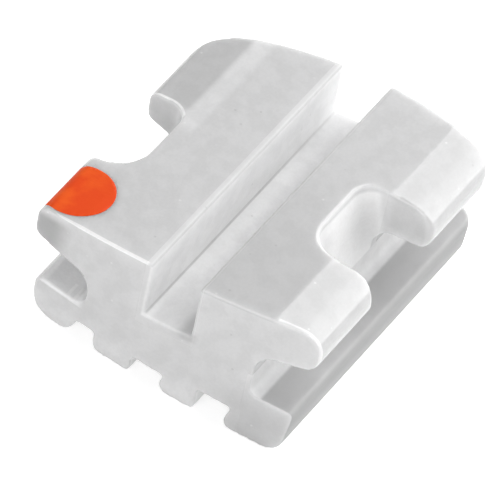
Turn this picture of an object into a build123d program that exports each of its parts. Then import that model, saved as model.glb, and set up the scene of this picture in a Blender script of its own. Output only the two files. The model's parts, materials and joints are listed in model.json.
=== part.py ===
from build123d import *
import os
from math import cos, radians, sin, sqrt, tan

# An orthodontic bracket for a front tooth: a moulded ceramic body with a grooved bonding base, an archwire slot
# and four tie wings, and the round spot of paint that tells one corner of it from the others.
# X runs along the slot, from the front end to the rear end, +Y points to the wing with the painted spot, and +Z
# points away from the tooth. The origin is the middle of the bonding base, in the plane of its ridges.
# Lengths are in millimetres and angles in degrees. Left is +Y and right is -Y.

# Archwire slot: its size, and how it sits above the bonding base
slot_width = 0.56
slot_depth = 0.71
slot_floor_radius = 0.03
slot_mouth_radius = 0.03
slot_floor_height = 0.915
slot_offset = 0.055
torque_angle = 7.4

# Ends of the body: bowed and skewed in plan, and drafted so that the base is a little longer than the top. At the
# rear the base stands out past the wings.
body_length = 3.9
front_skew_angle = 4.3
rear_skew_angle = 6.5
front_bow_radius = 12.6
rear_bow_radius = 3.83
rear_base_bow_radius = 6.0
rear_base_overhang = 0.09
draft_angle = 1.2

# Bonding base: a foot with a flange on either side and three grooves along the slot
left_flange_reach = 1.58
right_flange_reach = 1.525
right_foot_reach = 1.44
left_flange_height = 0.47
right_flange_height = 0.615
left_flange_radius = 0.12
right_flange_radius = 0.07
left_foot_radius = 0.32
right_foot_radius = 0.18
front_flange_corner_radius = 0.08
rear_flange_corner_radius = 0.28
groove_width = 0.31
groove_depth = 0.22
groove_flare = 0.045
groove_roof_radius = 0.04
ridge_left_radius = 0.11
ridge_right_radius = 0.06
first_ridge_radius = 0.18
first_groove_place = 0.87
groove_pitch = 0.78
groove_depth_shares = (1.0, 1.0, 1.33)
groove_flare_shares = (-1.0, 1.0, 1.0)

# Left pair of tie wings, measured from the middle of the slot floor and square to it
left_root = 0.955
left_crown = 1.19
left_reach = 1.69
left_crown_drop = 0.04
left_side_lean = 0.01
left_root_height = 0.078
left_lip_height = 0.31
left_tip_radius = 0.13
left_lip_radius = 0.13
left_throat_radius = 0.26

# Right pair of tie wings, measured in the same way
right_root = 1.01
right_crown = 1.12
right_reach = 1.66
right_crown_drop = 0.03
right_side_lean = 0.0
right_root_height = 0.13
right_lip_height = 0.2
right_tip_radius = 0.28
right_lip_radius = 0.18
right_throat_radius = 0.24

root_radius = 0.12

# Notches between the wings of each pair, cut in from the tips of the wings
left_notch_front = -0.955
left_notch_rear = 0.25
left_notch_depth = 0.505
left_notch_front_radius = 0.42
left_notch_rear_radius = 0.25
right_notch_front = -0.62
right_notch_rear = 0.57
right_notch_depth = 0.87
right_notch_front_radius = 0.34
right_notch_rear_radius = 0.25
right_notch_lean = 0.22

# Corners of the wings in plan
front_left_corner_radius = 0.04
rear_left_corner_radius = 0.74
front_right_corner_radius = 0.07
rear_right_corner_radius = 0.17
left_mouth_radius = 0.05
right_mouth_radius = 0.2

# Identification spot: a thin coat of paint, flush in its own seat
dot_radius = 0.395
dot_x = -1.5
dot_y = 1.48
dot_depth = 0.25
paint_thickness = 0.025

# How far a cutting shape runs past what it cuts, and how far the plan stands clear of the sides
overrun = 0.4
side_clearance = 0.01

lean = radians(torque_angle)
half_span = max(left_reach, right_reach, left_flange_reach, right_flange_reach) + overrun


def base_point(y, z):
    """A point of the bonding base's section, in the leaned frame that the slot is drawn in."""
    across = y - slot_offset
    up = z - slot_floor_height
    return across * cos(lean) - up * sin(lean), across * sin(lean) + up * cos(lean)


def over_base(across, height):
    """The point at a distance across from the slot's middle that lies a given height above the bonding base."""
    return across, (height - slot_floor_height + across * sin(lean)) / cos(lean)


# Middle of the gap between the left wings and their flange: the wings' plan holds above it, the base's below
gap_height = (left_root_height + over_base(left_root, left_flange_height)[1]) / 2


def section():
    """Section of the body across the slot, with every corner's rounding beside it."""
    half_slot = slot_width / 2
    corners = [
        ((half_slot, 0), slot_floor_radius),
        ((half_slot, slot_depth), slot_mouth_radius),
        ((left_crown, slot_depth), 0),
        ((left_reach, slot_depth - left_crown_drop), left_tip_radius),
        ((left_reach - left_side_lean, left_lip_height), left_lip_radius),
        ((left_root, left_root_height), left_throat_radius),
        (over_base(left_root, left_flange_height), root_radius),
        (over_base(left_flange_reach, left_flange_height), left_flange_radius),
        (over_base(left_flange_reach, 0), left_foot_radius),
    ]
    for number, (depth_share, flare_share) in enumerate(zip(groove_depth_shares, groove_flare_shares)):
        middle = first_groove_place - number * groove_pitch
        mouth = groove_width / 2
        roof = mouth + flare_share * groove_flare
        height = depth_share * groove_depth
        ridge_radius = ridge_right_radius if number else first_ridge_radius
        corners.append((base_point(middle + mouth, 0), ridge_radius))
        corners.append((base_point(middle + roof, height), groove_roof_radius))
        corners.append((base_point(middle - roof, height), groove_roof_radius))
        corners.append((base_point(middle - mouth, 0), ridge_left_radius))
    corners += [
        (over_base(-right_foot_reach, 0), right_foot_radius),
        (over_base(-right_flange_reach, right_flange_height), right_flange_radius),
        (over_base(-right_root, right_flange_height), root_radius),
        ((-right_root, right_root_height), right_throat_radius),
        ((-right_reach + right_side_lean, right_lip_height), right_lip_radius),
        ((-right_reach, slot_depth - right_crown_drop), right_tip_radius),
        ((-right_crown, slot_depth), 0),
        ((-half_slot, slot_depth), slot_mouth_radius),
        ((-half_slot, 0), slot_floor_radius),
    ]
    points = [point for point, radius in corners]
    radii = [radius for point, radius in corners]
    return Plane.YZ * make_face(FilletPolyline(*points, radius=radii, close=True))


def end_arc(end, overhang, bow_radius, skew_angle):
    """One bowed and skewed end of the plan, from left to right: end is -1 for the front and 1 for the rear."""
    middle = end * (body_length / 2 + overhang)
    bow = end * (bow_radius - sqrt(bow_radius**2 - half_span**2))
    skew = half_span * tan(radians(skew_angle))
    return ThreePointArc((middle - bow - skew, half_span), (middle, 0), (middle - bow + skew, -half_span))


# Keys of a plan's corners: which side line, then which end
front_left, rear_left = (-1, 0), (-1, -1)
front_right, rear_right = (0, 0), (0, -1)


def plan(left_side, right_side, overhang, bow_radius, corner_radii):
    """Plan of the body, a little clear of both its sides: the overhang and the bow are the rear end's."""
    front = end_arc(-1, 0, front_bow_radius, front_skew_angle)
    rear = end_arc(1, overhang, bow_radius, rear_skew_angle)
    sides = [Line(front @ 0, rear @ 0), Line(front @ 1, rear @ 1)]
    left, right = left_side + side_clearance, -right_side - side_clearance
    band = Pos(0, (left + right) / 2) * Rectangle(body_length + 2 * overrun, left - right)
    outline = make_face([front, rear] + sides) & band
    for (side, end), radius in corner_radii.items():
        corner = outline.vertices().group_by(Axis.Y)[side].sort_by(Axis.X)[end]
        outline = fillet(corner, radius)
    return outline


def end_cutters(outline, climb):
    """Two cutters that trim the ends to an outline from the gap upwards, or downwards for a negative climb."""
    cutters = []
    for end in (-1, 1):
        half = Pos(end * body_length / 2, 0) * Rectangle(body_length, 2 * half_span)
        draft = Vector(-end * tan(radians(draft_angle)), 0, 1) * climb
        cutters.append(extrude(Pos(0, 0, gap_height) * (half - outline), amount=draft.length, dir=draft))
    return cutters


def notch(reach, front, rear, depth, front_radius, rear_radius, mouth_radius, lean_out):
    """Cutter for one notch, drawn on the left: its walls lean out by lean_out on their way down to the gap."""
    mouth = reach + side_clearance
    outside = mouth + overrun
    wall = reach - depth
    points = [
        (-body_length, outside),
        (-body_length, mouth),
        (front, mouth),
        (front, wall),
        (rear, wall),
        (rear, mouth),
        (body_length, mouth),
        (body_length, outside),
    ]
    radii = [0, 0, mouth_radius, front_radius, rear_radius, mouth_radius, 0, 0]
    outline = make_face(FilletPolyline(*points, radius=radii, close=True))
    climb = Vector(0, -lean_out, slot_depth - gap_height)
    return extrude(Pos(0, lean_out, gap_height) * outline, amount=climb.length + overrun, dir=climb)


def place(shape):
    """Lean a shape from the slot's frame onto the bonding base."""
    return Pos(0, slot_offset, slot_floor_height) * Rot(-torque_angle, 0, 0) * shape


def body():
    """The one-piece ceramic body, in the slot's frame."""
    bar = extrude(section(), amount=body_length / 2 + overrun, both=True)
    height = slot_depth + slot_floor_height
    wing_plan = plan(left_reach, right_reach, 0, rear_bow_radius, {
        front_left: front_left_corner_radius,
        rear_left: rear_left_corner_radius,
        front_right: front_right_corner_radius,
        rear_right: rear_right_corner_radius,
    })
    foot_plan = plan(left_flange_reach, right_flange_reach, rear_base_overhang, rear_base_bow_radius, {
        front_left: front_flange_corner_radius,
        rear_left: rear_flange_corner_radius,
        front_right: front_flange_corner_radius,
        rear_right: rear_flange_corner_radius,
    })
    left_notch = notch(
        left_reach, left_notch_front, left_notch_rear, left_notch_depth,
        left_notch_front_radius, left_notch_rear_radius, left_mouth_radius, 0,
    )
    right_notch = notch(
        right_reach, right_notch_front, right_notch_rear, right_notch_depth,
        right_notch_front_radius, right_notch_rear_radius, right_mouth_radius, right_notch_lean,
    )
    trims = end_cutters(wing_plan, height) + end_cutters(foot_plan, -height)
    return bar - trims - left_notch - mirror(right_notch, about=Plane.XZ)


def paint(bracket):
    """The spot of paint: the outer coat of the bracket inside a round boundary on one wing tip."""
    spot = Pos(dot_x, dot_y, slot_depth - dot_depth) * Cylinder(
        dot_radius, dot_depth + overrun, align=(Align.CENTER, Align.CENTER, Align.MIN)
    )
    under = Pos(0, -paint_thickness, -paint_thickness) * bracket
    return (bracket & spot) - under


os.makedirs("parts", exist_ok=True)
bracket = body()
dot = paint(bracket)
export_step(place(bracket - dot), "parts/bracket_body.step")
export_step(place(dot), "parts/identification_dot.step")
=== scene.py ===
"""Dresses an orthodontic bracket: a moulded ceramic body with four tie wings, and its painted dot."""

import json
import math
from types import SimpleNamespace

import bpy
from bpy.props import FloatProperty, FloatVectorProperty, IntProperty, PointerProperty
from bpy.types import Operator, Panel, PropertyGroup
from mathutils import Matrix, Quaternion, Vector

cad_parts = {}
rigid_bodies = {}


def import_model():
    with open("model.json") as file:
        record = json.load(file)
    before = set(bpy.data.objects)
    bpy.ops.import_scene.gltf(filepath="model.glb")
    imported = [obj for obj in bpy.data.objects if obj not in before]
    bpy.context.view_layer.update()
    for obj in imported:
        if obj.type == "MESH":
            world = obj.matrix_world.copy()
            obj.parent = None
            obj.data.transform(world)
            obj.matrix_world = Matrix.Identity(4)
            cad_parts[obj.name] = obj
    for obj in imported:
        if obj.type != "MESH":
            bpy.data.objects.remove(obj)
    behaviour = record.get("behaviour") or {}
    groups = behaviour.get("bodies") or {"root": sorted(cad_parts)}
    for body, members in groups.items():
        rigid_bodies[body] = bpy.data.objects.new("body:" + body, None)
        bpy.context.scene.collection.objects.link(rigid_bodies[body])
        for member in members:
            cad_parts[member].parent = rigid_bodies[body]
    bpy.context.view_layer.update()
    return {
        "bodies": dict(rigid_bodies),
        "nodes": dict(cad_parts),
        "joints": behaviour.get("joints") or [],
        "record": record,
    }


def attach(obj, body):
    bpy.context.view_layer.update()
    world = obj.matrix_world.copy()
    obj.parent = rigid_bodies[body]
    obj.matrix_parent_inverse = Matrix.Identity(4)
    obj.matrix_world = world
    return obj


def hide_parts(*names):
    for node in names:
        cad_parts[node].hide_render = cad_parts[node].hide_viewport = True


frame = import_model()

bl_info = {
    "name": "Orthodontic bracket",
    "version": (1, 0, 0),
    "blender": (4, 5, 0),
    "location": "3D View > Sidebar > Bracket",
    "description": "Models a ceramic orthodontic bracket, its painted dot and a plain studio",
    "category": "Object",
}

# The pieces are modelled a thousand times their size, one Blender metre for each millimetre, because
# Blender's mesh tools lose distances this small. The last step of each piece shrinks it to its real size.
MM = 0.001
ARC_TOLERANCE = 0.0004      # how far a round stretch's straight steps may leave it, in millimetres
MERGE_DISTANCE = 0.00005    # points closer than this, in millimetres, become one


def length(name, millimetres, description):
    """A length of the bracket, given in millimetres and kept in metres."""
    return FloatProperty(
        name=name, description=description, default=millimetres * MM, unit="LENGTH", precision=6
    )


def turn(name, degrees, description):
    """An angle, given in degrees and kept in radians."""
    return FloatProperty(name=name, description=description, default=math.radians(degrees), subtype="ANGLE")


def amount(name, value, description):
    """A plain number without a unit."""
    return FloatProperty(name=name, description=description, default=value, min=0.0)


def tint(name, colour, description):
    """A colour, in linear light."""
    return FloatVectorProperty(
        name=name, description=description, default=colour, size=3, subtype="COLOR", min=0.0, max=1.0
    )


class BracketSlotSizes(PropertyGroup):
    """The archwire slot, and how it sits above the bonding base."""

    width: length("Width", 0.56, "Clear width of the slot")
    depth: length("Depth", 0.71, "Depth of the slot below the crowns of the wings")
    floor_radius: length("Floor radius", 0.03, "Rounding along both edges of the floor")
    mouth_radius: length("Mouth radius", 0.03, "Rounding along both edges of the mouth")
    floor_height: length("Floor height", 0.915, "Height of the floor's middle above the bonding base")
    offset: length("Offset", 0.055, "How far the floor's middle lies to the left of the base's")
    torque: turn("Torque", 7.4, "Lean of the slot and the wings towards the right")


class BracketEndSizes(PropertyGroup):
    """The two bowed and skewed ends of the body."""

    body_length: length("Length", 3.9, "Length of the body along its middle")
    front_skew: turn("Front skew", 4.3, "Turn of the front end in plan")
    rear_skew: turn("Rear skew", 6.5, "Turn of the rear end in plan")
    front_bow: length("Front bow", 12.6, "Radius of the front end in plan")
    rear_bow: length("Rear bow", 3.83, "Radius of the rear end of the wings in plan")
    rear_base_bow: length("Rear base bow", 6.0, "Radius of the rear end of the base in plan")
    rear_base_overhang: length("Rear base overhang", 0.09, "How far the base stands out behind the wings")
    draft: turn("Draft", 1.2, "Draft of both ends, which makes the base longer than the crowns")


class BracketBaseSizes(PropertyGroup):
    """The bonding base: a foot with a flange on either side and three grooves along the slot."""

    left_reach: length("Left reach", 1.58, "Reach of the left flange from the slot's middle")
    right_reach: length("Right reach", 1.525, "Reach of the right flange from the slot's middle")
    right_foot_reach: length("Right foot reach", 1.44, "Reach of the right side at the base")
    left_height: length("Left flange height", 0.47, "Height of the left flange's top above the base")
    right_height: length("Right flange height", 0.615, "Height of the right flange's top above the base")
    left_radius: length("Left flange radius", 0.12, "Rounding of the left flange's upper edge")
    right_radius: length("Right flange radius", 0.07, "Rounding of the right flange's upper edge")
    left_foot_radius: length("Left foot radius", 0.32, "Rounding of the base's left edge")
    right_foot_radius: length("Right foot radius", 0.18, "Rounding of the base's right edge")
    front_corner_radius: length("Front corner radius", 0.08, "Rounding of the flanges' front corners")
    rear_corner_radius: length("Rear corner radius", 0.28, "Rounding of the flanges' rear corners")
    groove_width: length("Groove width", 0.31, "Width of a groove at its mouth")
    groove_depth: length("Groove depth", 0.22, "Depth of the first two grooves")
    groove_flare: length("Groove flare", 0.045, "Change of a groove's half width by its roof")
    roof_radius: length("Groove roof radius", 0.04, "Rounding of the grooves' inner corners")
    ridge_left_radius: length("Ridge left radius", 0.11, "Rounding of a ridge's left edge")
    ridge_right_radius: length("Ridge right radius", 0.06, "Rounding of a ridge's right edge")
    first_ridge_radius: length("First ridge radius", 0.18, "Rounding of the leftmost ridge's right edge")
    first_groove: length("First groove", 0.87, "Place of the leftmost groove")
    groove_pitch: length("Groove pitch", 0.78, "Distance from one groove to the next")


# Sizes that both pairs of wings have, in millimetres: the left pair's value, the right pair's and what it is
WING_SIZES = {
    "root": (0.955, 1.01, "Where the throat under the wings meets the body"),
    "crown": (1.19, 1.12, "Where the flat crown gives way to the sloping facet"),
    "reach": (1.69, 1.66, "Reach of the wings' tips"),
    "crown_drop": (0.04, 0.03, "Drop of the facet by the tip"),
    "side_lean": (0.01, 0.0, "How much further in the tip lies at its lower edge"),
    "root_height": (0.078, 0.13, "Height of the throat's roof at the root"),
    "lip_height": (0.31, 0.2, "Height of the tip's lower edge"),
    "tip_radius": (0.13, 0.28, "Rounding of the tip's upper edge"),
    "lip_radius": (0.13, 0.18, "Rounding of the tip's lower edge"),
    "throat_radius": (0.26, 0.24, "Rounding of the throat's roof"),
    "front_corner_radius": (0.04, 0.07, "Rounding of the front wing's corner in plan"),
    "rear_corner_radius": (0.74, 0.17, "Rounding of the rear wing's corner in plan"),
    "notch_front": (-0.955, -0.62, "Front wall of the notch between the wings"),
    "notch_rear": (0.25, 0.57, "Rear wall of the notch between the wings"),
    "notch_depth": (0.505, 0.87, "Depth of the notch from the tips"),
    "notch_front_radius": (0.42, 0.34, "Rounding of the notch's front corner"),
    "notch_rear_radius": (0.25, 0.25, "Rounding of the notch's rear corner"),
    "notch_mouth_radius": (0.05, 0.2, "Rounding of the tips beside the notch"),
    "notch_lean": (0.0, 0.22, "How far the notch's wall leans out on its way down"),
}


def wing_sizes(side):
    """The properties of one pair of wings: side is 0 for the left and 1 for the right."""
    return {
        name: length(name.replace("_", " ").capitalize(), sizes[side], description)
        for name, (*sizes, description) in WING_SIZES.items()
    }


class BracketLeftWingSizes(PropertyGroup):
    """The pair of wings that carries the painted dot, measured from the middle of the slot's floor."""

    __annotations__ = wing_sizes(0)


class BracketRightWingSizes(PropertyGroup):
    """The other pair of wings, measured in the same way."""

    __annotations__ = wing_sizes(1)


class BracketSpotSizes(PropertyGroup):
    """The painted identification dot, and what the whole body has in common."""

    radius: length("Radius", 0.395, "Radius of the painted dot")
    x: length("Place along the slot", -1.5, "Place of the dot's middle along the slot")
    y: length("Place across the slot", 1.48, "Place of the dot's middle across the slot")
    depth: length("Depth", 0.25, "How far down the wing's tip the paint reaches")
    thickness: length("Paint thickness", 0.025, "Thickness of the coat of paint")
    root_radius: length("Root radius", 0.12, "Rounding where the body meets the flanges")
    grain: length("Grain", 0.015, "Grain of the mesh that the moulded body is worked over with")
    softening: IntProperty(
        name="Softening", description="How often the mesh is smoothed, which rounds its edges", default=8
    )
    triangles: IntProperty(name="Triangles", description="Triangles that the body keeps", default=170000)
    overrun: length("Overrun", 0.4, "How far a cutting shape runs past what it cuts")
    side_clearance: length("Side clearance", 0.01, "How far the plan stands clear of the sides")


class BracketFinish(PropertyGroup):
    """Colours and surface values of the two materials."""

    ceramic: tint("Ceramic", (0.7, 0.7, 0.703), "Body colour of the ceramic")
    cloud_depth: amount("Cloud depth", 0.09, "How much darker the clouds in the ceramic are")
    cloud_scale: amount("Cloud scale", 5.0, "Clouds in each millimetre of the ceramic")
    grain_scale: amount("Grain scale", 30.0, "Grains in each millimetre of the ceramic")
    speck_scale: amount("Speck scale", 7.0, "Places for a speck in each millimetre")
    paint: tint("Paint", (1.0, 0.125, 0.013), "Main colour of the painted dot")
    paint_deep: tint("Deep paint", (0.92, 0.08, 0.01), "Colour of the dot where the paint is thick")
    paint_cloud_scale: amount("Paint cloud scale", 5.0, "Clouds in each millimetre of the paint")
    paint_roughness: amount("Paint roughness", 0.5, "Roughness of the paint")
    paint_gloss: amount("Paint gloss", 0.15, "How strongly the paint reflects")
    ceramic_roughness: amount("Ceramic roughness", 0.16, "Roughness of the moulded ceramic")
    dull_roughness: amount("Dull roughness", 0.6, "Roughness where the ceramic isn't polished")
    ceramic_index: amount("Ceramic index", 1.76, "Refractive index of the ceramic, which is alumina")
    gloss: amount("Gloss", 0.3, "Share of the clear, polished skin on the ceramic")
    gloss_roughness: amount("Gloss roughness", 0.1, "Roughness of that skin")
    scatter: length("Scatter", 0.2, "How far light spreads inside the ceramic")


class BracketStudio(PropertyGroup):
    """The camera, the lights and the floor."""

    target: FloatVectorProperty(
        name="Target", description="Point that the camera looks at, in metres", size=3,
        default=(-0.238 * MM, 0.015 * MM, 0.694 * MM), subtype="TRANSLATION",
    )
    distance: length("Distance", 103.2, "Distance from the target to the camera")
    azimuth: turn("Azimuth", -163.99, "Bearing of the camera from +X")
    elevation: turn("Elevation", 47.34, "Height of the camera above the horizon")
    roll: turn("Roll", 21.83, "Turn of the camera about its own axis")
    lens: length("Lens", 707.7, "Focal length of the camera")
    floor_size: length("Floor size", 600.0, "Side of the floor")
    floor_gap: length("Floor gap", 0.005, "How far the floor lies under the bonding base")
    floor: tint("Floor", (0.8, 0.8, 0.8), "Colour of the floor")
    floor_glow: tint("Floor glow", (0.6, 0.6, 0.6), "Glow that the camera and reflections see")
    floor_roughness: amount("Floor roughness", 0.9, "Roughness of the floor")
    floor_gloss: amount("Floor gloss", 0.1, "How strongly the floor reflects")
    world: amount("World", 0.28, "Strength of the light from all round")


def in_millimetres(group):
    """The values of a property group, its lengths turned into millimetres."""
    values = SimpleNamespace()
    for item in group.bl_rna.properties:
        if item.identifier in ("rna_type", "name"):
            continue
        value = getattr(group, item.identifier)
        is_length = item.type == "FLOAT" and item.unit == "LENGTH"
        setattr(values, item.identifier, value / MM if is_length else value)
    return values


def active_object():
    """The object that the last operator made or changed."""
    return bpy.context.view_layer.objects.active


def select_only(obj):
    """Selects one object and makes it the active one."""
    bpy.ops.object.select_all(action="DESELECT")
    obj.select_set(True)
    bpy.context.view_layer.objects.active = obj


def round_steps(radius, angle):
    """How many straight steps a round stretch needs."""
    step = 2 * math.acos(1 - min(1.0, ARC_TOLERANCE / radius))
    return max(1, math.ceil(abs(angle) / step))


def rounded_corners(corners):
    """Strokes round a closed outline of (point, radius) corners, and the point where they start."""
    strokes = []
    points = [Vector(point) for point, radius in corners]
    for index, (point, radius) in enumerate(corners):
        here = points[index]
        back = (points[index - 1] - here).normalized()
        on = (points[(index + 1) % len(points)] - here).normalized()
        half = back.angle(on) / 2
        strokes.append((here + back * radius / math.tan(half), None))
        if radius:
            angle = math.copysign(math.pi - 2 * half, (-back).cross(on))
            strokes.append((here + (back + on).normalized() * radius / math.sin(half), angle))
    last_point, last_radius = points[-1], corners[-1][1]
    on = (points[0] - last_point).normalized()
    back = (points[-2] - last_point).normalized()
    return last_point + on * last_radius / math.tan(back.angle(on) / 2), strokes


def trace(name, plane, start, strokes):
    """Draws a flat face in edit mode. A stroke runs straight to a point, or turns about a centre."""
    bpy.ops.object.select_all(action="DESELECT")
    bpy.ops.mesh.primitive_plane_add(size=ARC_TOLERANCE)
    outline = active_object()
    outline.name = name
    bpy.ops.object.mode_set(mode="EDIT")
    bpy.ops.mesh.merge(type="CENTER")    # leaves one point, which the strokes start from
    bpy.ops.transform.translate(value=plane @ start.to_3d())
    axis = plane.to_3x3() @ Vector((0, 0, 1))
    here = start
    for point, angle in strokes:
        if angle is None:
            move = plane.to_3x3() @ (point - here).to_3d()
            bpy.ops.mesh.extrude_vertices_move(TRANSFORM_OT_translate={"value": move})
            here = point
        else:
            steps = round_steps((here - point).length, angle)
            bpy.ops.mesh.spin(steps=steps, angle=-angle, center=plane @ point.to_3d(), axis=axis)
            here = point + Matrix.Rotation(angle, 2) @ (here - point)
    bpy.ops.mesh.select_all(action="SELECT")
    bpy.ops.mesh.remove_doubles(threshold=MERGE_DISTANCE)
    bpy.ops.mesh.edge_face_add()
    bpy.ops.object.mode_set(mode="OBJECT")
    return outline


def edit_all(piece, operator, **settings):
    """Runs an edit mode operator on the whole of a piece."""
    select_only(piece)
    bpy.ops.object.mode_set(mode="EDIT")
    bpy.ops.mesh.select_all(action="SELECT")
    operator(**settings)
    bpy.ops.object.mode_set(mode="OBJECT")


def extrude(outline, move):
    """Makes a solid of a flat face."""
    edit_all(outline, bpy.ops.mesh.extrude_region_move, TRANSFORM_OT_translate={"value": move})
    return outline


def face_outwards(solid):
    """Turns every face of a closed shape outwards."""
    edit_all(solid, bpy.ops.mesh.normals_make_consistent, inside=False)


def finish_with(solid, kind, **settings):
    """Adds a modifier to a piece, sets it and applies it."""
    select_only(solid)
    bpy.ops.object.modifier_add(type=kind)
    modifier = solid.modifiers[-1]
    for key, value in settings.items():
        setattr(modifier, key, value)
    bpy.ops.object.modifier_apply(modifier=modifier.name)


def combine(solid, tool, operation):
    """Cuts a solid with a tool, or joins or intersects them, and throws the tool away."""
    finish_with(solid, "BOOLEAN", object=tool, operation=operation, solver="EXACT")
    bpy.data.objects.remove(tool)


def copy_of(solid, name):
    """A copy of a piece with a mesh of its own."""
    select_only(solid)
    bpy.ops.object.duplicate()
    twin = active_object()
    twin.name = name
    return twin


def bring_home(solid, slot):
    """Leans a piece onto the base, shrinks it to its real size and leaves its object at the origin."""
    place = Matrix.Translation((0, slot.offset, slot.floor_height)) @ Matrix.Rotation(-slot.torque, 4, "X")
    solid.matrix_world = Matrix.Scale(MM, 4) @ place @ solid.matrix_world
    select_only(solid)
    bpy.ops.object.transform_apply(location=True, rotation=True, scale=True)


def over_base(slot, across, height):
    """The point at a distance across from the slot's middle, at a given height above the base."""
    rise = height - slot.floor_height + across * math.sin(slot.torque)
    return across, rise / math.cos(slot.torque)


def base_point(slot, y, z):
    """A point of the bonding base's section, in the leaned frame that the slot is drawn in."""
    across, up = Matrix.Rotation(slot.torque, 2) @ Vector((y - slot.offset, z - slot.floor_height))
    return across, up


# Shares of the groove's depth and flare that each groove has, from left to right
GROOVE_DEPTH_SHARES = (1.0, 1.0, 1.33)
GROOVE_FLARE_SHARES = (-1.0, 1.0, 1.0)


def wing_corners(wing, slot, base_reach, base_height, base_radius, root_radius, side):
    """Corners of one side of the section, from slot to flange: side is 1 on the left, -1 on the right."""
    lean_side = wing.reach - wing.side_lean
    flange_root = over_base(slot, side * wing.root, base_height)
    flange_edge = over_base(slot, side * base_reach, base_height)
    return [
        ((side * slot.width / 2, 0), slot.floor_radius),
        ((side * slot.width / 2, slot.depth), slot.mouth_radius),
        ((side * wing.crown, slot.depth), 0),
        ((side * wing.reach, slot.depth - wing.crown_drop), wing.tip_radius),
        ((side * lean_side, wing.lip_height), wing.lip_radius),
        ((side * wing.root, wing.root_height), wing.throat_radius),
        (flange_root, root_radius),
        (flange_edge, base_radius),
    ]


def groove_corners(slot, base):
    """Corners of the bonding base's three grooves, from left to right."""
    corners = []
    mouth = base.groove_width / 2
    for number, (depth_share, flare_share) in enumerate(zip(GROOVE_DEPTH_SHARES, GROOVE_FLARE_SHARES)):
        middle = base.first_groove - number * base.groove_pitch
        roof = mouth + flare_share * base.groove_flare
        height = depth_share * base.groove_depth
        ridge_radius = base.ridge_right_radius if number else base.first_ridge_radius
        corners += [
            (base_point(slot, middle + mouth, 0), ridge_radius),
            (base_point(slot, middle + roof, height), base.roof_radius),
            (base_point(slot, middle - roof, height), base.roof_radius),
            (base_point(slot, middle - mouth, 0), base.ridge_left_radius),
        ]
    return corners


def section_corners(s):
    """Corners of the body's section across the slot."""
    base, slot = s.base, s.slot
    root = s.spot.root_radius
    left = wing_corners(s.left, slot, base.left_reach, base.left_height, base.left_radius, root, 1)
    right = wing_corners(s.right, slot, base.right_reach, base.right_height, base.right_radius, root, -1)
    foot = [(over_base(slot, base.left_reach, 0), base.left_foot_radius)]
    foot += groove_corners(slot, base)
    foot += [(over_base(slot, -base.right_foot_reach, 0), base.right_foot_radius)]
    return left + foot + right[::-1]


def circle_through(a, b, c):
    """Centre and radius of the circle through three points."""
    across, along = b - a, c - a
    doubled = 2 * across.cross(along)
    x = (along.y * across.length_squared - across.y * along.length_squared) / doubled
    y = (across.x * along.length_squared - along.x * across.length_squared) / doubled
    return a + Vector((x, y)), math.hypot(x, y)


def end_circle(s, end, overhang, bow, skew):
    """The circle of one bowed and skewed end: end is -1 for the front and 1 for the rear."""
    half_span = max(s.left.reach, s.right.reach, s.base.left_reach, s.base.right_reach) + s.spot.overrun
    middle = end * (s.ends.body_length / 2 + overhang)
    back = end * (bow - math.sqrt(bow**2 - half_span**2))
    slant = half_span * math.tan(skew)
    return circle_through(
        Vector((middle - back - slant, half_span)),
        Vector((middle, 0)),
        Vector((middle - back + slant, -half_span)),
    )


def plan_strokes(s, left_reach, right_reach, overhang, rear_bow, radii):
    """Strokes round a plan with bowed ends. The radii run front left, rear left, front right, rear right.

    Between the roots the front end is a stroke of its own, so that it has the same points in both plans.
    """
    front_left, rear_left, front_right, rear_right = radii
    front = end_circle(s, -1, 0, s.ends.front_bow, s.ends.front_skew)
    rear = end_circle(s, 1, overhang, rear_bow, s.ends.rear_skew)
    left = left_reach + s.spot.side_clearance
    right = -right_reach - s.spot.side_clearance

    def corner(circle, end, side_line, radius):
        """Centre of a corner's rounding, and the bearing at which it meets the bowed end."""
        centre, bow = circle
        y = side_line - math.copysign(radius, side_line)
        x = centre.x + end * math.sqrt((bow - radius) ** 2 - (y - centre.y) ** 2)
        bearing = math.atan2(y - centre.y, x - centre.x)
        return Vector((x, y)), bearing % (2 * math.pi) if end < 0 else bearing

    def front_bearing(y):
        """Bearing, from the front circle's centre, of its point at a distance y to the left."""
        centre, bow = front
        return math.pi - math.asin((y - centre.y) / bow)

    rear_right_at, rear_right_turn = corner(rear, 1, right, rear_right)
    rear_left_at, rear_left_turn = corner(rear, 1, left, rear_left)
    front_left_at, front_left_turn = corner(front, -1, left, front_left)
    front_right_at, front_right_turn = corner(front, -1, right, front_right)
    shared_left = front_bearing(s.left.root + s.spot.root_radius)
    shared_right = front_bearing(-s.right.root - s.spot.root_radius)
    quarter = math.pi / 2
    return Vector((front_right_at.x, right)), [
        (Vector((rear_right_at.x, right)), None),
        (rear_right_at, rear_right_turn + quarter),
        (rear[0], rear_left_turn - rear_right_turn),
        (rear_left_at, quarter - rear_left_turn),
        (Vector((front_left_at.x, left)), None),
        (front_left_at, front_left_turn - quarter),
        (front[0], shared_left - front_left_turn),
        (front[0], shared_right - shared_left),
        (front[0], front_right_turn - shared_right),
        (front_right_at, 3 * quarter - front_right_turn),
    ]


def gap_height(s):
    """Middle of the gap under the left wings, where the wings' plan gives way to the base's."""
    return (s.left.root_height + over_base(s.slot, s.left.root, s.base.left_height)[1]) / 2


def plan_block(s, name, strokes, climb):
    """A block with a plan's outline at the gap. Its ends draw in on the way up, by the draft."""
    start, strokes = strokes
    block = extrude(trace(name, Matrix.Translation((0, 0, gap_height(s))), start, strokes), (0, 0, climb))
    for end in (-1, 1):
        for vertex in block.data.vertices:
            if abs(vertex.co.z - gap_height(s) - climb) < MERGE_DISTANCE and vertex.co.x * end > 0:
                vertex.co.x -= end * climb * math.tan(s.ends.draft)
    face_outwards(block)
    return block


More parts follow.
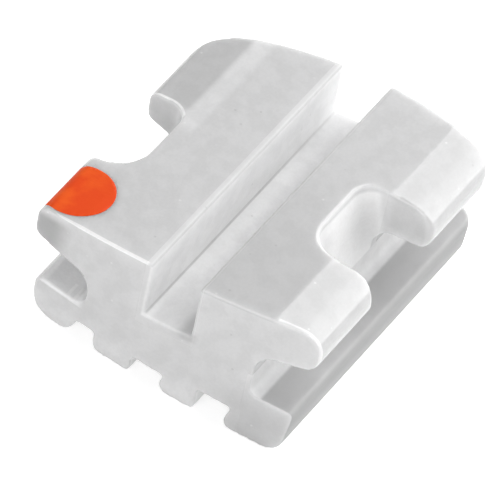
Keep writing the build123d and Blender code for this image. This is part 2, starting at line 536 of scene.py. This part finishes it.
def notch_block(s, name, wing, side):
    """Cutter for the notch between two wings: side is 1 on the left and -1 on the right."""
    mouth = wing.reach + s.spot.side_clearance
    outside = mouth + s.spot.overrun
    wall = wing.reach - wing.notch_depth
    far = s.ends.body_length
    corners = [
        ((-far, outside), 0),
        ((-far, mouth), 0),
        ((wing.notch_front, mouth), wing.notch_mouth_radius),
        ((wing.notch_front, wall), wing.notch_front_radius),
        ((wing.notch_rear, wall), wing.notch_rear_radius),
        ((wing.notch_rear, mouth), wing.notch_mouth_radius),
        ((far, mouth), 0),
        ((far, outside), 0),
    ]
    corners = [((x, side * y), radius) for (x, y), radius in corners]
    climb = Vector((0, -side * wing.notch_lean, s.slot.depth - gap_height(s)))
    plane = Matrix.Translation((0, side * wing.notch_lean, gap_height(s)))
    outline = trace(name, plane, *rounded_corners(corners))
    block = extrude(outline, climb * (1 + s.spot.overrun / climb.length))
    face_outwards(block)
    return block


def section_bar(s):
    """The body's section, extruded past both ends."""
    half = s.ends.body_length / 2 + s.spot.overrun
    sideways = Matrix(((0, 0, 1, -half), (1, 0, 0, 0), (0, 1, 0, 0), (0, 0, 0, 1)))
    bar = extrude(trace("bracket_ceramic", sideways, *rounded_corners(section_corners(s))), (2 * half, 0, 0))
    face_outwards(bar)
    return bar


def sharp_body(s):
    """The body with sharp edges: its section, cut to the two plans and notched."""
    bar = section_bar(s)
    height = s.slot.depth + s.slot.floor_height
    wings = plan_block(s, "wing_plan", plan_strokes(
        s, s.left.reach, s.right.reach, 0, s.ends.rear_bow,
        (s.left.front_corner_radius, s.left.rear_corner_radius,
         s.right.front_corner_radius, s.right.rear_corner_radius),
    ), height)
    foot = plan_block(s, "foot_plan", plan_strokes(
        s, s.base.left_reach, s.base.right_reach, s.ends.rear_base_overhang, s.ends.rear_base_bow,
        (s.base.front_corner_radius, s.base.rear_corner_radius) * 2,
    ), -height)
    combine(foot, wings, "UNION")
    combine(bar, foot, "INTERSECT")
    combine(bar, notch_block(s, "left_notch", s.left, 1), "DIFFERENCE")
    combine(bar, notch_block(s, "right_notch", s.right, -1), "DIFFERENCE")
    return bar


def soften(piece, s):
    """Rounds every sharp edge a little, as moulding does: an even, fine mesh is smoothed and thinned."""
    finish_with(piece, "REMESH", mode="VOXEL", voxel_size=s.spot.grain, adaptivity=0.0)
    finish_with(piece, "SMOOTH", factor=0.5, iterations=s.spot.softening)
    triangles = sum(len(face.vertices) - 2 for face in piece.data.polygons)
    finish_with(piece, "DECIMATE", decimate_type="COLLAPSE", ratio=min(1.0, s.spot.triangles / triangles))


def seat_block(s, sunk):
    """Cutter for the dot's seat: a round post, less the body sunk by the thickness of the paint."""
    spot = s.spot
    tall = spot.depth + spot.overrun
    bpy.ops.object.select_all(action="DESELECT")
    bpy.ops.mesh.primitive_cylinder_add(
        vertices=round_steps(spot.radius, 2 * math.pi), radius=spot.radius, depth=tall,
        location=(spot.x, spot.y, s.slot.depth - spot.depth + tall / 2),
    )
    post = active_object()
    post.name = "dot_seat"
    select_only(sunk)
    bpy.ops.transform.translate(value=(0, -spot.thickness, -spot.thickness))
    combine(post, sunk, "DIFFERENCE")
    return post


def smooth(piece):
    """Shades a piece's round stretches smooth and keeps its flat faces flat."""
    select_only(piece)
    bpy.ops.object.shade_smooth()
    finish_with(piece, "WEIGHTED_NORMAL", mode="FACE_AREA", weight=50, keep_sharp=True)


class Tree:
    """A node tree, with short ways to add and wire the nodes that both materials are made of."""

    def __init__(self, node_tree):
        self.nodes, self.links = node_tree.nodes, node_tree.links

    def add(self, kind, values=None, **settings):
        """Adds a node. Its inputs get plain values, or the outputs of other nodes."""
        node = self.nodes.new(kind)
        for key, value in settings.items():
            setattr(node, key, value)
        for key, value in (values or {}).items():
            self.feed(node.inputs[key], value)
        return node

    def feed(self, socket, value):
        """Gives an input a plain value, or wires another node's output to it."""
        if isinstance(value, bpy.types.NodeSocket):
            self.links.new(value, socket)
        else:
            socket.default_value = value

    def math(self, operation, a, b=0.0):
        """Two values worked on by an operation."""
        return self.add("ShaderNodeMath", {0: a, 1: b}, operation=operation).outputs["Value"]

    def ramp(self, value, start, end, low=0.0, high=1.0):
        """A value that runs softly from low, at the start, to high, at the end."""
        values = {"Value": value, "From Min": start, "From Max": end, "To Min": low, "To Max": high}
        return self.add("ShaderNodeMapRange", values, interpolation_type="SMOOTHSTEP").outputs["Result"]

    def mix(self, factor, a, b, label=""):
        """One colour over another."""
        values = {"Factor": factor, "A": a, "B": b}
        return self.add("ShaderNodeMix", values, data_type="RGBA", label=label).outputs["Result"]

    def vector(self, operation, a, b, output="Vector"):
        """Two vectors multiplied, or the distance between them."""
        return self.add("ShaderNodeVectorMath", {0: a, 1: b}, operation=operation).outputs[output]

    def split(self, vector):
        """The three parts of a vector."""
        return self.add("ShaderNodeSeparateXYZ", {"Vector": vector}).outputs

    def millimetres(self):
        """The object's own coordinates, in millimetres."""
        place = self.add("ShaderNodeTexCoord").outputs["Object"]
        return self.vector("MULTIPLY", place, (1 / MM,) * 3)


def new_material(name):
    """A material, its node tree and its Principled shader."""
    material = bpy.data.materials.new(name)
    material.use_nodes = True
    tree = Tree(material.node_tree)
    return material, tree, tree.nodes["Principled BSDF"]


CLOUD_DETAIL = 4.0
GRAIN_DETAIL = 2.0
CLOUD_EDGE = (0.35, 0.65)   # values of the noise between which a cloud fades in
GRAIN_EDGE = (0.6, 0.4)     # values of the noise between which a grain's shade fades in
SPECK_EDGE = (0.14, 0.05)   # distances from a speck's middle between which it fades in
SPECK_GAPS = 0.85           # share of the places that stay without a speck


def flaws_group():
    """Node group: soft clouds, a fine grain and sparse specks, for both materials."""
    group = bpy.data.node_groups.new("flaws", "ShaderNodeTree")
    for name, kind in (("Vector", "NodeSocketVector"), ("Cloud Scale", "NodeSocketFloat"),
                       ("Grain Scale", "NodeSocketFloat"), ("Speck Scale", "NodeSocketFloat")):
        group.interface.new_socket(name, in_out="INPUT", socket_type=kind)
    for name in ("Clouds", "Grain", "Dark Specks", "Light Specks"):
        group.interface.new_socket(name, in_out="OUTPUT", socket_type="NodeSocketFloat")
    tree = Tree(group)
    inside, outside = tree.add("NodeGroupInput").outputs, tree.add("NodeGroupOutput").inputs
    place = inside["Vector"]
    cloud, grain = (
        tree.add("ShaderNodeTexNoise", {"Vector": place, "Scale": inside[scale], "Detail": detail})
        for scale, detail in (("Cloud Scale", CLOUD_DETAIL), ("Grain Scale", GRAIN_DETAIL))
    )
    cells = tree.add("ShaderNodeTexVoronoi", {"Vector": place, "Scale": inside["Speck Scale"]})
    chance = tree.add("ShaderNodeSeparateColor", {"Color": cells.outputs["Color"]}).outputs
    round_spot = tree.ramp(cells.outputs["Distance"], *SPECK_EDGE)
    tree.links.new(tree.ramp(cloud.outputs["Fac"], *CLOUD_EDGE), outside["Clouds"])
    tree.links.new(grain.outputs["Fac"], outside["Grain"])
    for name, draw in (("Dark Specks", chance["Red"]), ("Light Specks", chance["Green"])):
        drawn = tree.math("GREATER_THAN", draw, SPECK_GAPS)
        tree.links.new(tree.math("MULTIPLY", round_spot, drawn), outside[name])
    return group


def place_flaws(tree, millimetres, cloud_scale, finish):
    """Places the flaws group in a material, with clouds of its own scale."""
    return tree.add("ShaderNodeGroup", {
        "Vector": millimetres,
        "Cloud Scale": cloud_scale,
        "Grain Scale": finish.grain_scale,
        "Speck Scale": finish.speck_scale,
    }, node_tree=bpy.data.node_groups.get("flaws") or flaws_group()).outputs


def zone(name, tone, **bounds):
    """A stretch of the ceramic with a painted tone of light or shade: each bound is a low end, a high end
    and its fade.
    """
    return name, tone, bounds


# Light and shade painted into the ceramic's colour, zone by zone: painted light where the thin ceramic would
# let light through and in its hollows, painted shade in corners and on faces turned from the light, and
# painted highlights along edges. Zones are bounded in millimetres along the slot, across it, up from its
# floor, inwards from the front end, outwards from the rear end of the base, by height above the base, and
# outwards from the left notch's rear corner.
PAINTED_LIGHT_AND_SHADE = (
    # Painted light low on the front end, and painted shade low on its right
    zone("low front", 0.82, across=(-0.8, None, 0.4), inwards=(None, 0.02, 0.02), height=(None, 0.0, 0.5)),
    zone("low right front", 0.6, across=(None, -0.9, 0.5), inwards=(None, 0.02, 0.02),
         height=(None, 0.3, 0.5)),
    # Painted light in the slot and on its left wall, toned down at its rear and front; painted shade at its
    # mouth, on the floor's right and in its left corner
    zone("slot", 0.86, across=(-0.27, 0.29, 0.03), up=(-0.01, 0.7, 0.03), inwards=(0.0, None, 0.03)),
    zone("slot's left side", 1.0, along=(-0.8, 0.6, 1.5), across=(0.2, 0.31, 0.2), up=(-0.01, 0.06, 0.55),
         inwards=(0.0, None, 0.03)),
    zone("slot's mouth", 0.54, across=(0.275, 0.292, 0.022), up=(0.698, None, 0.02),
         inwards=(0.0, None, 0.03)),
    zone("slot's rear", 0.78, along=(1.8, None, 1.6), across=(-0.27, 0.26, 0.03), up=(-0.01, 0.02, 0.1)),
    zone("slot's front", 0.78, across=(-0.27, 0.15, 0.1), up=(-0.01, 0.02, 0.04), inwards=(0.0, 0.3, 0.8)),
    zone("shade on the slot's floor", 0.56, across=(-0.28, -0.2, 0.12), up=(-0.05, 0.02, 0.05),
         inwards=(0.0, 0.3, 0.4)),
    zone("slot's corner", 0.72, across=(0.262, 0.29, 0.012), up=(-0.02, 0.018, 0.012),
         inwards=(0.05, None, 0.05)),
    # Painted shade on parts of the crowns, facets and tips, by how the light falls on them
    zone("right crown's front", 0.61, along=(None, -1.2, 2.6), across=(-1.06, -0.27, 0.12),
         up=(0.67, None, 0.01), inwards=(0.0, None, 0.01)),
    zone("rear right crown", 0.7, along=(1.5, None, 0.5), across=(-0.9, -0.27, 0.3), up=(0.67, None, 0.01)),
    zone("rear left facet", 0.58, along=(0.3, 1.5, 0.12), across=(1.25, None, 0.09), up=(0.2, None, 0.1)),
    zone("band beside the rear left facet", 0.78, along=(0.1, None, 0.3), across=(1.04, 1.15, 0.09),
         up=(0.68, None, 0.01)),
    zone("front left tip", 0.42, across=(1.5, None, 0.3), up=(0.2, 0.55, 0.12), inwards=(None, 0.01, 0.01)),
    zone("right facets", 0.62, across=(None, -1.2, 0.12), up=(0.3, None, 0.1), inwards=(0.03, None, 0.02)),
    # Painted light on the right notch's wall, and painted shade on its front and rim
    zone("right notch", 1.0, along=(-0.58, 0.54, 0.04), across=(-1.6, -0.8, 0.04), up=(-0.2, 0.62, 0.05)),
    zone("right notch's front", 0.8, along=(-0.6, -0.35, 0.3), across=(-1.3, -0.8, 0.1),
         up=(-0.2, 0.62, 0.05)),
    zone("right notch's rim", 0.72, along=(-0.66, 0.6, 0.02), across=(-1.2, -0.7, 0.02),
         up=(0.68, 0.7, 0.01)),
    # Painted light on the left flange, in the grooves and in the right throat; painted shade on the right
    # flange
    zone("left flange's top", 0.9, across=(1.05, None, 0.1), up=(None, -0.1, 0.1),
         height=(0.44, None, 0.02)),
    zone("groove walls", 1.0, height=(0.01, 0.35, 0.01), inwards=(0.03, None, 0.01)),
    zone("right throat", 0.8, across=(None, -0.98, 0.02), height=(0.6, 0.85, 0.05),
         inwards=(0.02, None, 0.01)),
    zone("right flange's side", 0.36, across=(None, -1.46, 0.05), height=(0.04, 0.66, 0.03),
         inwards=(0.02, None, 0.01), outwards=(None, -0.04, 0.03)),
    zone("right flange's top", 0.46, across=(-1.46, -1.17, 0.05), height=(0.04, 0.66, 0.03),
         inwards=(0.02, None, 0.01), outwards=(None, -0.04, 0.03)),
    # Painted highlights along edges and round the left notch, and painted glints on the left flange
    zone("front left edge", 1.0, across=(0.36, 1.46, 0.05), up=(0.69, None, 0.01),
         inwards=(None, 0.025, 0.01)),
    zone("left flange's front edge", 1.0, across=(1.1, 1.48, 0.02), height=(0.45, 0.5, 0.01),
         inwards=(None, 0.025, 0.01)),
    zone("left flange's outer glint", 1.0, across=(1.155, 1.18, 0.01), height=(0.46, 0.6, 0.02),
         inwards=(0.01, 0.2, 0.02)),
    zone("left flange's inner glint", 1.0, across=(1.075, 1.095, 0.01), height=(0.46, 0.6, 0.02),
         inwards=(0.01, 0.2, 0.02)),
    zone("left notch's rim", 1.0, along=(0.262, 0.28, 0.008), across=(1.43, None, 0.01),
         up=(0.3, None, 0.1)),
    zone("left notch's rear corner", 1.0, along=(0.1, None, 0.05), across=(1.2, 1.435, 0.01),
         corner=(0.012, 0.03, 0.008), up=(0.3, None, 0.1)),
    zone("right facet's front edge", 0.85, across=(None, -1.16, 0.03), up=(0.3, None, 0.1),
         inwards=(0.012, 0.05, 0.008)),
)

# Where the ceramic isn't polished
DULL = (
    dict(across=(-0.3, 0.34, 0.03), up=(-0.1, None, 0.05)),
    dict(along=(-0.75, 0.65, 0.05), across=(-1.06, -0.7, 0.03), up=(-0.2, 0.7, 0.01)),
    dict(across=(None, -0.98, 0.03), height=(None, 0.85, 0.05)),
)


def zone_mask(tree, frame, bounds):
    """A mask that is 1 inside a zone's bounds and fades out beyond them."""
    mask = 1.0
    for axis, (low, high, fade) in bounds.items():
        if low is not None:
            mask = tree.math("MULTIPLY", tree.ramp(frame[axis], low - fade, low), mask)
        if high is not None:
            mask = tree.math("MULTIPLY", tree.ramp(frame[axis], high + fade, high), mask)
    return mask


def zone_frame(tree, millimetres, s):
    """The distances that a zone is bounded by."""
    leaned = tree.add("ShaderNodeMapping", {
        "Vector": millimetres,
        "Location": (0, s.slot.offset, s.slot.floor_height),
        "Rotation": (-s.slot.torque, 0, 0),
    }, vector_type="TEXTURE").outputs["Vector"]
    axes = tree.split(leaned)
    flat = tree.vector("MULTIPLY", leaned, (1, 1, 0))
    rise = tree.math("SUBTRACT", axes["Z"], gap_height(s))
    drafted = tree.math("MULTIPLY", rise, math.tan(s.ends.draft))

    def past(circle):
        """How far a point lies outside a circle in the plan."""
        centre, radius = circle
        return tree.math("SUBTRACT", tree.vector("DISTANCE", flat, (*centre, 0), "Value"), radius)

    front = end_circle(s, -1, 0, s.ends.front_bow, s.ends.front_skew)
    rear = end_circle(s, 1, s.ends.rear_base_overhang, s.ends.rear_base_bow, s.ends.rear_skew)
    corner_radius = s.left.notch_rear_radius
    corner_middle = (s.left.notch_rear - corner_radius, s.left.reach - s.left.notch_depth + corner_radius)
    return {
        "along": axes["X"],
        "across": axes["Y"],
        "up": axes["Z"],
        "inwards": tree.math("MULTIPLY", tree.math("ADD", past(front), drafted), -1.0),
        "outwards": tree.math("ADD", past(rear), drafted),
        "height": tree.split(millimetres)["Z"],
        "corner": past((corner_middle, corner_radius)),
    }


# How much more blue than red the ceramic's neutral tones have
COOLNESS = 1.004

# Tones and strengths of both materials' flaws, and the strength of their relief and its depth in millimetres
FLAW_TONE = 0.3
GRAIN_SHADE = 0.04
DARK_SPECKS, LIGHT_SPECKS, PAINT_SPECKS = 0.25, 0.3, 0.4
PAINT_SPECK_COLOUR = (0.25, 0.03, 0.01)
CERAMIC_RELIEF = (0.06, 0.004)
PAINT_RELIEF = (0.2, 0.01)

# Where the paint thins, in millimetres to the left of the base's middle
PAINT_THINS = (1.25, 1.65)


def grey(tone):
    """A neutral colour of one tone, a little cool as the ceramic is."""
    return (tone, tone, min(1.0, tone * COOLNESS), 1.0)


def opaque(colour):
    """A colour in the form that a node's input takes."""
    return (*colour, 1.0)


def add_bump(tree, shader, height, relief):
    """Gives a shader a fine relief of a strength and a depth in millimetres."""
    strength, depth = relief
    bump = tree.add("ShaderNodeBump", {"Strength": strength, "Distance": depth * MM, "Height": height})
    tree.feed(shader.inputs["Normal"], bump.outputs["Normal"])


def ceramic_material(finish, s):
    """Milky, glossy moulded ceramic that light enters a little way, with light and shade painted into its
    colour.
    """
    material, tree, shader = new_material("translucent_ceramic")
    millimetres = tree.millimetres()
    flaws = place_flaws(tree, millimetres, finish.cloud_scale, finish)
    frame = zone_frame(tree, millimetres, s)
    colour = opaque(finish.ceramic)
    # Paints light and shade into the colour, zone by zone
    for name, tone, bounds in PAINTED_LIGHT_AND_SHADE:
        colour = tree.mix(zone_mask(tree, frame, bounds), colour, grey(tone), name)
    shade = tree.math("MULTIPLY", tree.ramp(flaws["Clouds"], 1.0, 0.0), finish.cloud_depth)
    shade = tree.math("ADD", shade, tree.ramp(flaws["Grain"], *GRAIN_EDGE, 0.0, GRAIN_SHADE))
    colour = tree.mix(shade, colour, grey(FLAW_TONE), "clouds and grain")
    for kind, share, tone in (("Dark Specks", DARK_SPECKS, FLAW_TONE), ("Light Specks", LIGHT_SPECKS, 1.0)):
        colour = tree.mix(tree.math("MULTIPLY", flaws[kind], share), colour, grey(tone), kind)
    dull = 0.0
    for bounds in DULL:
        dull = tree.math("MAXIMUM", zone_mask(tree, frame, bounds), dull)
    roughness = tree.ramp(dull, 0.0, 1.0, finish.ceramic_roughness, finish.dull_roughness)
    tree.feed(shader.inputs["Base Color"], colour)
    tree.feed(shader.inputs["Roughness"], roughness)
    tree.feed(shader.inputs["Coat Weight"], tree.ramp(dull, 0.0, 1.0, finish.gloss, 0.0))
    shader.inputs["IOR"].default_value = finish.ceramic_index
    shader.inputs["Coat Roughness"].default_value = finish.gloss_roughness
    shader.inputs["Subsurface Weight"].default_value = 1.0
    shader.inputs["Subsurface Radius"].default_value = (1.0, 1.0, 1.0)
    shader.inputs["Subsurface Scale"].default_value = finish.scatter * MM
    add_bump(tree, shader, flaws["Grain"], CERAMIC_RELIEF)
    return material


def paint_material(finish):
    """Thin orange paint, a little uneven."""
    material, tree, shader = new_material("dot_paint")
    millimetres = tree.millimetres()
    flaws = place_flaws(tree, millimetres, finish.paint_cloud_scale, finish)
    thin = tree.math("MULTIPLY", flaws["Clouds"], tree.ramp(tree.split(millimetres)["Y"], *PAINT_THINS))
    colour = tree.mix(thin, opaque(finish.paint_deep), opaque(finish.paint))
    specks = tree.math("MULTIPLY", flaws["Dark Specks"], PAINT_SPECKS)
    tree.feed(shader.inputs["Base Color"], tree.mix(specks, colour, opaque(PAINT_SPECK_COLOUR)))
    shader.inputs["Roughness"].default_value = finish.paint_roughness
    shader.inputs["Specular IOR Level"].default_value = finish.paint_gloss
    add_bump(tree, shader, flaws["Grain"], PAINT_RELIEF)
    return material


def give_material(piece, material):
    """Puts one material on a whole piece."""
    piece.data.materials.clear()
    piece.data.materials.append(material)


def all_sizes(scene):
    """Every size of the bracket, in millimetres."""
    groups = ("slot", "ends", "base", "left", "right", "spot")
    return SimpleNamespace(**{name: in_millimetres(getattr(scene.bracket, name)) for name in groups})


class BracketSettings(PropertyGroup):
    """Everything that a user would change."""

    slot: PointerProperty(type=BracketSlotSizes)
    ends: PointerProperty(type=BracketEndSizes)
    base: PointerProperty(type=BracketBaseSizes)
    left: PointerProperty(type=BracketLeftWingSizes)
    right: PointerProperty(type=BracketRightWingSizes)
    spot: PointerProperty(type=BracketSpotSizes)
    finish: PointerProperty(type=BracketFinish)
    studio: PointerProperty(type=BracketStudio)


class BRACKET_OT_body(Operator):
    """Models the ceramic body with its slot, wings, notches and grooved base."""

    bl_idname = "bracket.body"
    bl_label = "Ceramic body"

    def execute(self, context):
        s = all_sizes(context.scene)
        body = sharp_body(s)
        copy_of(body, "sharp_body")
        soften(body, s)
        return {"FINISHED"}


class BRACKET_OT_dot(Operator):
    """Cuts the seat into the body's front left wing and paints the dot in it."""

    bl_idname = "bracket.dot"
    bl_label = "Painted dot"

    def execute(self, context):
        s = all_sizes(context.scene)
        finish = in_millimetres(context.scene.bracket.finish)
        body = bpy.data.objects["bracket_ceramic"]
        seat = seat_block(s, bpy.data.objects["sharp_body"])
        dot = copy_of(body, "paint_dot")
        finish_with(dot, "BOOLEAN", object=seat, operation="INTERSECT", solver="EXACT")
        combine(body, seat, "DIFFERENCE")
        for piece, node, slot, material in (
            (body, "bracket_body", "translucent_ceramic", ceramic_material(finish, s)),
            (dot, "identification_dot", "dot_paint", paint_material(finish)),
        ):
            smooth(piece)
            bring_home(piece, s.slot)
            give_material(piece, material)
            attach(piece, "root")
            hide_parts(node)
        return {"FINISHED"}


class BRACKET_OT_studio(Operator):
    """Sets up the floor, the lights, the world and the camera."""

    bl_idname = "bracket.studio"
    bl_label = "Studio"

    def execute(self, context):
        studio = context.scene.bracket.studio
        make_floor(studio)
        make_lights(studio)
        make_world(studio)
        make_camera(studio)
        context.scene.view_settings.view_transform = "Standard"
        return {"FINISHED"}


def seen_directly(tree):
    """A value that is 1 for the camera, reflections and refractions, and 0 for soft light."""
    path = tree.add("ShaderNodeLightPath").outputs
    mirrored = tree.math("MAXIMUM", path["Is Glossy Ray"], path["Is Transmission Ray"])
    return tree.math("MAXIMUM", path["Is Camera Ray"], mirrored)


def make_floor(studio):
    """A pale floor that the camera sees white, with the bracket's shadow on it."""
    bpy.ops.object.select_all(action="DESELECT")
    bpy.ops.mesh.primitive_plane_add(size=studio.floor_size, location=(0, 0, -studio.floor_gap))
    floor = active_object()
    floor.name = "floor"
    material, tree, shader = new_material("floor")
    shader.inputs["Base Color"].default_value = opaque(studio.floor)
    shader.inputs["Roughness"].default_value = studio.floor_roughness
    shader.inputs["Specular IOR Level"].default_value = studio.floor_gloss
    shader.inputs["Emission Color"].default_value = opaque(studio.floor_glow)
    tree.feed(shader.inputs["Emission Strength"], seen_directly(tree))
    give_material(floor, material)


# Lights: name, bearing and height in degrees, distance, width and tallness in millimetres, and radiance
LIGHTS = (
    ("key", -28.0, 36.0, 40.0, 60.0, 52.0, 2.35),
    ("fill", 180.0, 22.0, 60.0, 70.0, 40.0, 2.3),
)


def direction(bearing, height):
    """A direction from its bearing and its height above the horizon."""
    level = math.cos(height)
    return Vector((math.cos(bearing) * level, math.sin(bearing) * level, math.sin(height)))


def make_lights(studio):
    """Soft panels of light round the bracket."""
    for name, bearing, height, distance, width, tallness, radiance in LIGHTS:
        outwards = direction(math.radians(bearing), math.radians(height))
        turned = outwards.to_track_quat("Z", "Y").to_euler()
        bpy.ops.object.light_add(
            type="AREA", location=Vector(studio.target) + outwards * distance * MM, rotation=turned
        )
        light = active_object()
        light.name = name
        light.data.shape = "RECTANGLE"
        light.data.size = width * MM
        light.data.size_y = tallness * MM
        light.data.energy = radiance * math.pi * width * tallness * MM**2


def make_world(studio):
    """An even, pale surrounding that the camera and reflections see as white."""
    world = bpy.context.scene.world or bpy.data.worlds.new("studio")
    bpy.context.scene.world = world
    world.use_nodes = True
    tree = Tree(world.node_tree)
    background = tree.nodes["Background"]
    background.inputs["Color"].default_value = (1.0, 1.0, 1.0, 1.0)
    level = tree.ramp(seen_directly(tree), 0.0, 1.0, studio.world, 1.0)
    tree.feed(background.inputs["Strength"], level)


def make_camera(studio):
    """A long lens at the photograph's viewing angle."""
    back = direction(studio.azimuth, studio.elevation)
    turned = back.to_track_quat("Z", "Y") @ Quaternion((0, 0, 1), studio.roll)
    place = Vector(studio.target) + back * studio.distance
    bpy.ops.object.camera_add(location=place, rotation=turned.to_euler())
    camera = active_object()
    camera.name = "camera"
    camera.data.lens = studio.lens / MM
    camera.data.clip_start = studio.distance / 10
    camera.data.clip_end = studio.distance * 10
    bpy.context.scene.camera = camera


class BRACKET_PT_panel(Panel):
    """Lists the bracket's sizes, colours and operators."""

    bl_idname = "BRACKET_PT_panel"
    bl_label = "Orthodontic bracket"
    bl_space_type = "VIEW_3D"
    bl_region_type = "UI"
    bl_category = "Bracket"

    def draw(self, context):
        settings = context.scene.bracket
        for label, group in (
            ("Slot", settings.slot), ("Ends", settings.ends), ("Base", settings.base),
            ("Left wings", settings.left), ("Right wings", settings.right), ("Dot and edges", settings.spot),
            ("Finish", settings.finish), ("Studio", settings.studio),
        ):
            box = self.layout.box()
            box.label(text=label)
            for item in group.bl_rna.properties:
                if item.identifier not in ("rna_type", "name"):
                    box.prop(group, item.identifier)
        for operator in (BRACKET_OT_body, BRACKET_OT_dot, BRACKET_OT_studio):
            self.layout.operator(operator.bl_idname)


CLASSES = (
    BracketSlotSizes, BracketEndSizes, BracketBaseSizes, BracketLeftWingSizes, BracketRightWingSizes,
    BracketSpotSizes, BracketFinish, BracketStudio, BracketSettings,
    BRACKET_OT_body, BRACKET_OT_dot, BRACKET_OT_studio, BRACKET_PT_panel,
)


def register():
    for item in CLASSES:
        bpy.utils.register_class(item)
    bpy.types.Scene.bracket = PointerProperty(type=BracketSettings)


def unregister():
    del bpy.types.Scene.bracket
    for item in reversed(CLASSES):
        bpy.utils.unregister_class(item)


def main():
    register()
    bpy.ops.bracket.body()
    bpy.ops.bracket.dot()
    bpy.ops.bracket.studio()


if __name__ == "__main__":
    main()
